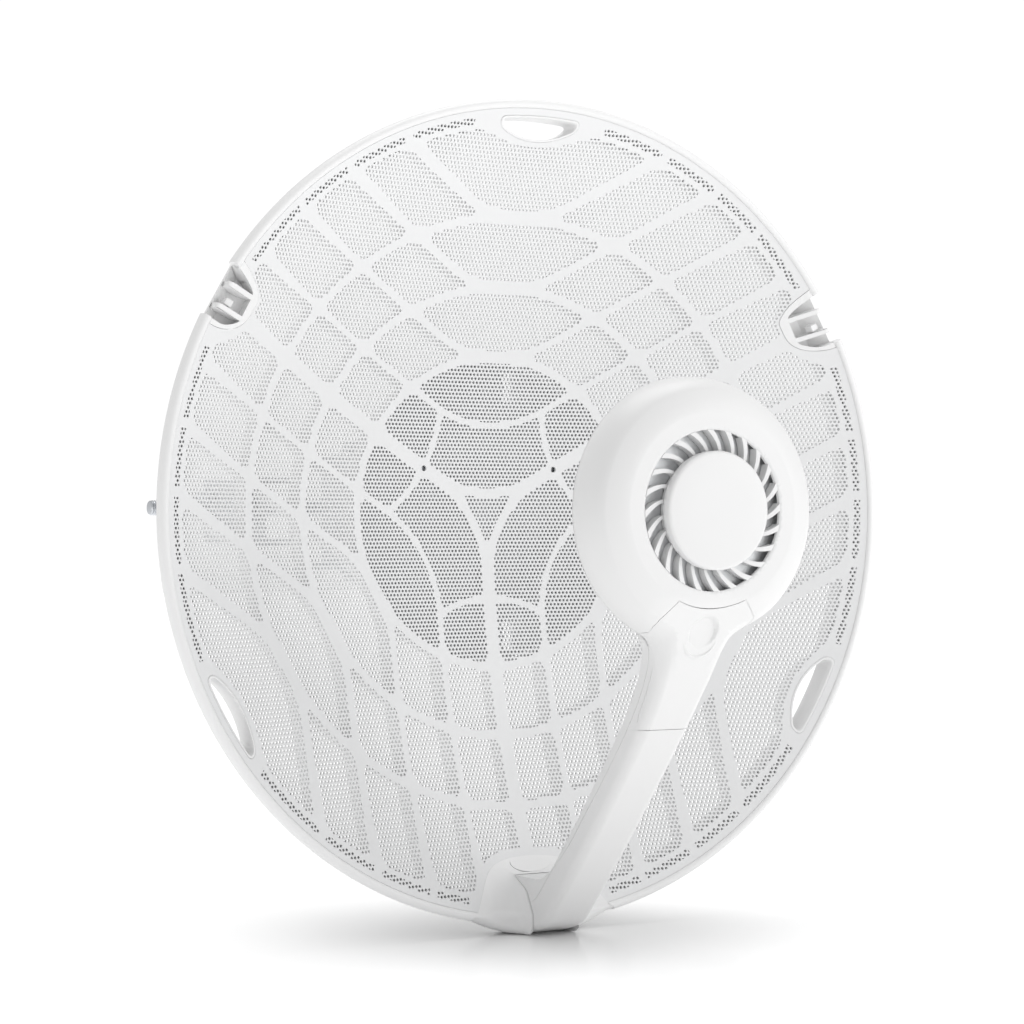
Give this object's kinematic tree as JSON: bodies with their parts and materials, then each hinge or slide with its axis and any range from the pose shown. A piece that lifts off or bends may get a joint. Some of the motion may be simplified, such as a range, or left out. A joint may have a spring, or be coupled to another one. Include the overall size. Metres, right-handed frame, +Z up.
{
  "type": "outdoor wireless bridge",
  "caption": "Round perforated dish with a ribbed frame, a feed pod on a slanted arm in front, and a tilting pole clamp behind.",
  "frame": {"origin": "on the dish axis where it crosses the plane of the rim groove, within 3 mm of the middle of the overall box", "axes": "+Z up, the dish looks along -Y, +X to the right seen from the front"},
  "size_m": [0.4092, 0.3051, 0.413],
  "materials": {
    "reflector_sheet": "fine matt powder coat, light grey",
    "white_frame": "satin moulded plastic, white",
    "white_shell": "satin moulded plastic, white",
    "bare_aluminium": "die cast, bead blasted",
    "circuit_board": "solder mask, satin",
    "tinned_can": "tin plate",
    "sealing_rubber": "matt",
    "dark_button": "satin",
    "cast_bracket": "die cast",
    "zinc_steel": "bright zinc plate"
  },
  "bodies": {
    "pole_clamp": {"inner_jaw": "zinc_steel", "clamp_bolt_front": "zinc_steel", "clamp_bolt_rear": "zinc_steel", "swivel_bolt": "zinc_steel", "swivel_nut": "zinc_steel"},
    "outer_jaw": {"outer_jaw": "zinc_steel", "clamp_washer_front": "zinc_steel", "clamp_washer_rear": "zinc_steel"},
    "clamp_nut_front": {"clamp_nut_front": "zinc_steel"},
    "clamp_nut_rear": {"clamp_nut_rear": "zinc_steel"},
    "swivel": {"swivel_yoke": "cast_bracket", "tilt_bolt": "zinc_steel", "tilt_washer": "zinc_steel", "tilt_nut": "zinc_steel"},
    "dish": {"reflector_panel": "reflector_sheet", "rib_frame": "white_frame", "hub_plate": "zinc_steel", "tilt_bracket": "cast_bracket", "hub_screw_1": "zinc_steel", "hub_screw_2": "zinc_steel", "hub_screw_3": "zinc_steel", "bracket_screw_1": "zinc_steel", "bracket_screw_2": "zinc_steel", "bracket_screw_3": "zinc_steel", "bracket_screw_4": "zinc_steel"},
    "radio": {"radio_front_shell": "white_shell", "radio_rear_shell": "white_shell", "louvre_ring": "white_shell", "centre_cap": "white_shell", "heatsink": "bare_aluminium", "radio_board": "circuit_board", "radio_module": "tinned_can", "feed_horn": "bare_aluminium", "backup_antenna": "circuit_board", "pod_gasket": "sealing_rubber", "port_board": "circuit_board", "ethernet_jack": "tinned_can", "cable_seal": "sealing_rubber"},
    "port_cover": {"port_cover": "white_shell"},
    "release_tab": {"release_tab": "white_frame"},
    "reset_button": {"reset_button": "dark_button"}
  },
  "joints": [
    {"name": "jaw_slide", "type": "slide", "parent": "pole_clamp", "child": "outer_jaw", "axis": [1, 0, 0], "range_m": [-0.012, 0.03]},
    {"name": "nut_spin_front", "type": "hinge", "parent": "outer_jaw", "child": "clamp_nut_front", "pos_m": [-0.12, 0.086, 0.002], "axis": [1, 0, 0], "continuous": true},
    {"name": "nut_spin_rear", "type": "hinge", "parent": "outer_jaw", "child": "clamp_nut_rear", "pos_m": [-0.12, 0.142, 0.002], "axis": [1, 0, 0], "continuous": true},
    {"name": "azimuth_swivel", "type": "hinge", "parent": "pole_clamp", "child": "swivel", "pos_m": [-0.035, 0.138, 0], "axis": [0, 0, 1], "range_deg": [-10, 10]},
    {"name": "elevation_tilt", "type": "hinge", "parent": "swivel", "child": "dish", "pos_m": [0, 0.09, 0], "axis": [1, 0, 0], "range_deg": [-15, 15]},
    {"name": "radio_release", "type": "slide", "parent": "dish", "child": "radio", "axis": [0, -1, 0], "range_m": [0, 0.045]},
    {"name": "cover_lift", "type": "slide", "parent": "radio", "child": "port_cover", "axis": [0, -0.7513, -0.66], "range_m": [0, 0.04]},
    {"name": "tab_press", "type": "slide", "parent": "dish", "child": "release_tab", "axis": [0, 1, 0], "range_m": [0, 0.0015], "stiffness_N_per_m": 900},
    {"name": "reset_press", "type": "slide", "parent": "radio", "child": "reset_button", "axis": [0, 0.7513, 0.66], "range_m": [0, 0.0006], "stiffness_N_per_m": 900}
  ]
}
